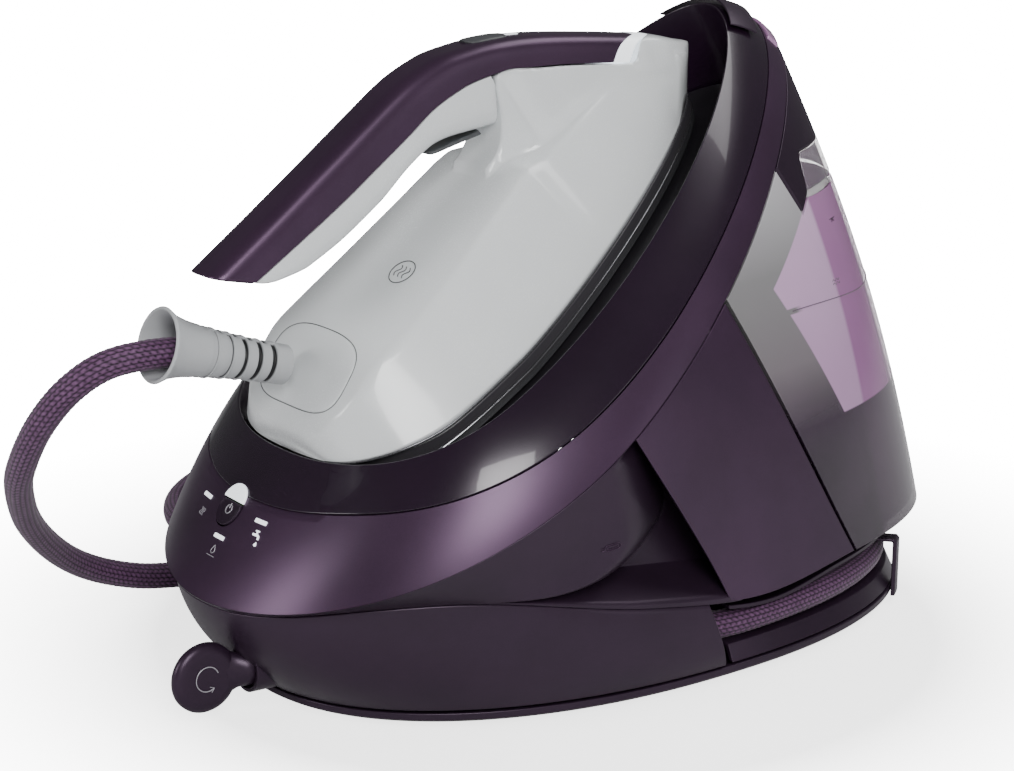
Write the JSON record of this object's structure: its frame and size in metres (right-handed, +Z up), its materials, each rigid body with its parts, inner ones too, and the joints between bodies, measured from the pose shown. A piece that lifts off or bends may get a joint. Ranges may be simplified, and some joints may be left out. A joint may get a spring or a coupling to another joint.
{
  "type": "steam generator iron",
  "caption": "Steam iron resting nose-up on a base station with boiler, pump and clear removable water tank, joined by a braided steam hose.",
  "frame": {"origin": "middle of the station's box on the surface it stands on", "axes": "+Z up, nose and control panel towards -Y, water tank towards +Y, +X to the side whose scoop is open to the viewer"},
  "size_m": [0.4409, 0.5001, 0.3164],
  "materials": {
    "satin_aubergine": "satin metallic moulding",
    "gloss_aubergine": "polished",
    "white_gloss": "polished",
    "dark_plastic": "fine grain",
    "steel": "brushed",
    "rubber": "matte",
    "tank_clear": "clear tinted plastic",
    "lamp_window": "lit window",
    "circuit_board": "board",
    "silicone": "soft satin",
    "hose_braid": "braided sleeve"
  },
  "bodies": {
    "base": {"base_pan": "satin_aubergine", "blade_left": "satin_aubergine", "blade_right": "satin_aubergine", "boiler": "steel", "boiler_cradle": "dark_plastic", "boiler_heater": "steel", "collar": "gloss_aubergine", "display_board": "circuit_board", "drain_pipe": "silicone", "drain_socket": "dark_plastic", "feed_pipe": "silicone", "floor_plate": "satin_aubergine", "foot_front_left": "rubber", "foot_front_right": "rubber", "foot_rear_left": "rubber", "foot_rear_right": "rubber", "hose_channel": "satin_aubergine", "hose_clip": "satin_aubergine", "hose_gland": "dark_plastic", "indicator_left": "lamp_window", "indicator_middle": "lamp_window", "indicator_right": "lamp_window", "iron_tray": "dark_plastic", "main_board": "circuit_board", "mains_inlet": "rubber", "mid_housing": "satin_aubergine", "power_light": "lamp_window", "pump": "dark_plastic", "rear_hull": "satin_aubergine", "rear_wall": "dark_plastic", "rest_mat": "silicone", "safety_valve": "steel", "steam_hose": "hose_braid", "steam_pipe": "silicone", "steam_valve": "steel", "top_inlay": "tank_clear", "upper_housing": "satin_aubergine", "water_pipe": "silicone"},
    "iron": {"soleplate": "steel", "sole_heater": "steel", "iron_skirt": "dark_plastic", "trim_ring": "steel", "iron_body": "white_gloss", "handle_cover": "satin_aubergine", "handle_grip": "white_gloss", "handle_strip": "silicone", "rear_hatch": "white_gloss", "hose_bell": "dark_plastic"},
    "trigger": {"steam_trigger": "dark_plastic"},
    "boost": {"steam_boost_button": "dark_plastic"},
    "power_key": {"power_button": "satin_aubergine"},
    "lock": {"lock_button": "satin_aubergine", "lock_latch": "dark_plastic"},
    "drain_plug": {"drain_seal": "rubber"},
    "drain_grip": {"drain_knob": "satin_aubergine"},
    "tank": {"tank_shell": "tank_clear", "tank_cover": "dark_plastic", "tank_outlet": "dark_plastic"},
    "flap": {"tank_flap": "tank_clear"}
  },
  "joints": [
    {"name": "iron_lift", "type": "slide", "parent": "base", "child": "iron", "axis": [0, -0.5388, 0.8425], "range_m": [0, 0.08], "deforming": ["steam_hose"]},
    {"name": "steam_trigger_pull", "type": "hinge", "parent": "iron", "child": "trigger", "pos_m": [0, -0.04793, 0.26222], "axis": [-1, 0, 0], "range_deg": [0, 2.5], "stiffness_Nm_per_rad": 0.6, "springref_deg": -5.73},
    {"name": "steam_boost_press", "type": "slide", "parent": "iron", "child": "boost", "axis": [0, 0.1007, -0.9949], "range_m": [0, 0.001], "stiffness_N_per_m": 600, "springref_m": -0.001},
    {"name": "power_press", "type": "slide", "parent": "base", "child": "power_key", "axis": [0.0311, 0.7905, -0.6117], "range_m": [0, 0.001], "stiffness_N_per_m": 600, "springref_m": -0.001},
    {"name": "lock_slide", "type": "slide", "parent": "base", "child": "lock", "axis": [0, -0.9672, 0.2541], "range_m": [0, 0.004]},
    {"name": "drain_pull", "type": "slide", "parent": "base", "child": "drain_plug", "axis": [0, -1, 0], "range_m": [0, 0.03]},
    {"name": "drain_turn", "type": "hinge", "parent": "drain_plug", "child": "drain_grip", "pos_m": [0.012, -0.2031, 0.024], "axis": [0, 1, 0], "range_deg": [0, 90]},
    {"name": "tank_slide", "type": "slide", "parent": "base", "child": "tank", "axis": [0, 1, 0], "range_m": [0, 0.12]},
    {"name": "flap_hinge", "type": "hinge", "parent": "tank", "child": "flap", "pos_m": [0, 0.17303, 0.2238], "axis": [-1, 0, 0], "range_deg": [0, 60]}
  ]
}
